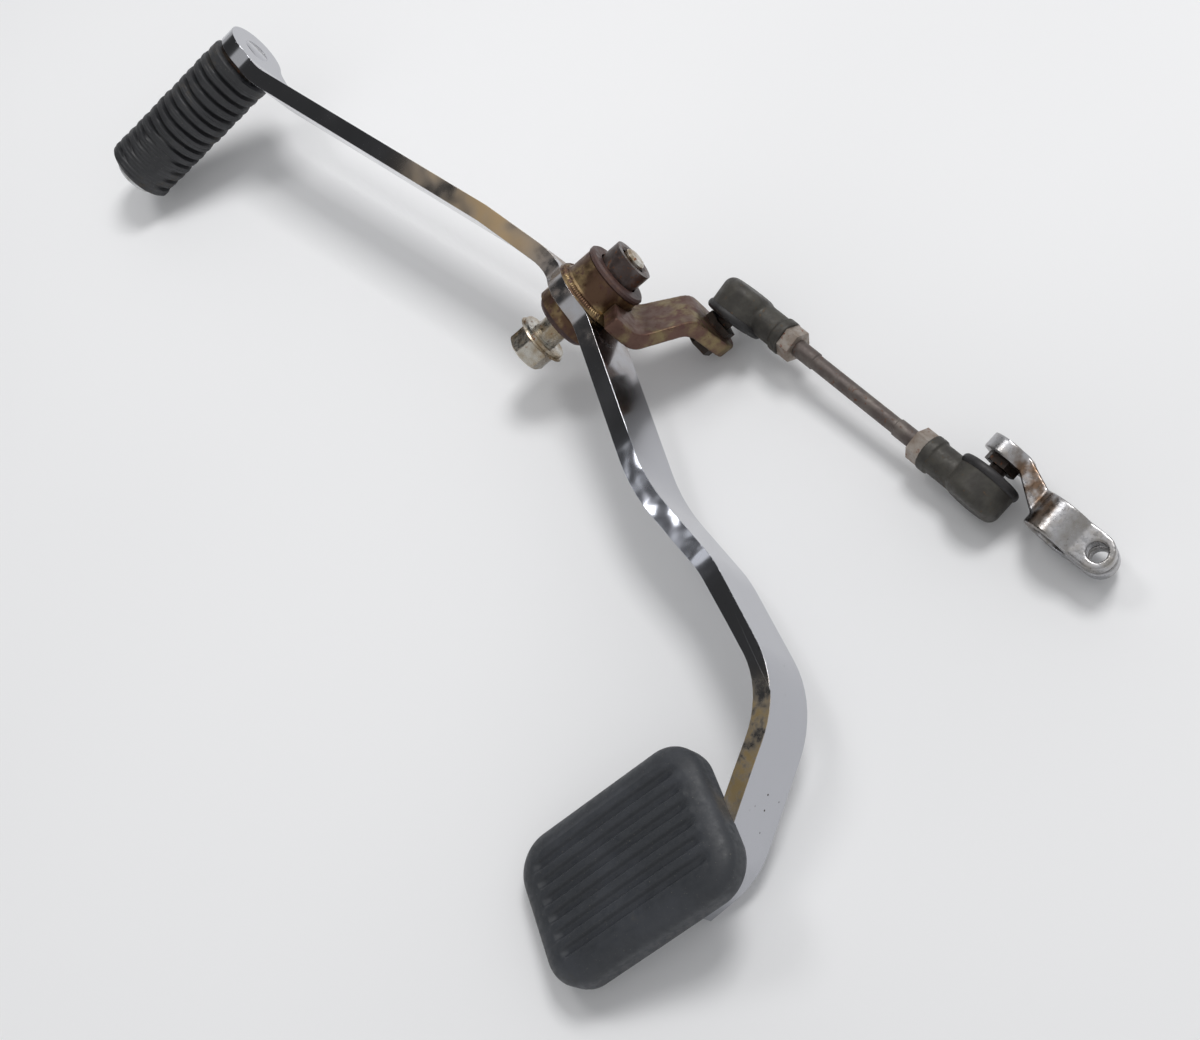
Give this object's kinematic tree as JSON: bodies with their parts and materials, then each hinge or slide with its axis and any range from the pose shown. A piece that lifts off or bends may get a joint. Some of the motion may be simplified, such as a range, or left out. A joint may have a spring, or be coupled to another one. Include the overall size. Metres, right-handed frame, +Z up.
{
  "type": "motorcycle gear shift lever",
  "caption": "Heel-and-toe gear shift lever with a pivot sleeve and bolt, and an adjustable ball-jointed rod to a clamp crank.",
  "frame": {"origin": "centre of the pivot sleeve's inboard end face, where the lever meets the motorcycle's frame", "axes": "+Z up from the bench that the part lies on, +X along the bench towards the toe peg, +Y towards the outboard side"},
  "size_m": [0.3857, 0.2404, 0.0515],
  "materials": {
    "chromed_bar": "bright plating",
    "chromed_boss": "heat stained plating",
    "bronze": "plain bearing bronze",
    "seal_rubber": "moulded, dull",
    "bright_steel": "turned",
    "grip_rubber": "moulded, dusty",
    "pad_rubber": "moulded, dusty",
    "dark_steel": "blackened",
    "hard_steel": "hardened and stained",
    "chromed_bolt": "plated, lightly rusted",
    "housing_steel": "dull plated",
    "rod_steel": "zinc plated, tarnished",
    "polished_steel": "forged and polished"
  },
  "bodies": {
    "lever": {"lever_bar": "chromed_bar", "pivot_tube": "chromed_boss", "pivot_bushes": "bronze", "dust_seal_outer": "seal_rubber", "dust_seal_inner": "seal_rubber", "link_arm": "chromed_boss", "toe_peg": "bright_steel", "peg_base_disc": "chromed_bar", "toe_grip": "grip_rubber", "heel_plate": "chromed_bar", "heel_pad": "pad_rubber", "ball_stud_lever": "dark_steel", "stud_nut": "dark_steel"},
    "sleeve": {"pivot_sleeve": "hard_steel"},
    "bolt": {"pivot_bolt": "chromed_bolt", "bolt_washer": "chromed_bolt"},
    "ball_at_lever": {"ball_lever": "bright_steel"},
    "link": {"rod_end_lever": "housing_steel", "boot_lever": "seal_rubber", "link_rod": "rod_steel", "jam_nuts": "rod_steel", "rod_end_crank": "housing_steel", "boot_crank": "seal_rubber", "clip_rings": "bright_steel"},
    "ball_at_crank": {"ball_crank": "bright_steel"},
    "crank": {"ball_stud_crank": "dark_steel", "shift_crank": "polished_steel"}
  },
  "joints": [
    {"name": "lever_pivot", "type": "hinge", "parent": "lever", "child": "sleeve", "pos_m": [0, 0.02106, -0.00821], "axis": [0, 0.9317, -0.3633], "range_deg": [-25, 25]},
    {"name": "bolt_slide", "type": "slide", "parent": "sleeve", "child": "bolt", "axis": [0, 0.9317, -0.3633], "range_m": [-0.0067, 0.012]},
    {"name": "lever_joint_swivel", "type": "hinge", "parent": "lever", "child": "ball_at_lever", "pos_m": [-0.01922, -0.02634, -0.02379], "axis": [0, 0.9317, -0.3633], "range_deg": [-60, 60]},
    {"name": "lever_joint_tilt", "type": "hinge", "parent": "ball_at_lever", "child": "link", "pos_m": [-0.01922, -0.02634, -0.02379], "axis": [-0.1582, 0.3587, 0.92], "range_deg": [-31.9, 0.1]},
    {"name": "crank_joint_tilt", "type": "hinge", "parent": "link", "child": "ball_at_crank", "pos_m": [-0.11703, -0.05832, -0.02814], "axis": [0.1088, -0.2004, -0.9737], "range_deg": [-16, 16]},
    {"name": "crank_joint_swivel", "type": "hinge", "parent": "ball_at_crank", "child": "crank", "pos_m": [-0.11703, -0.05832, -0.02814], "axis": [0.2939, -0.9292, 0.2241], "range_deg": [-100, 100]}
  ]
}
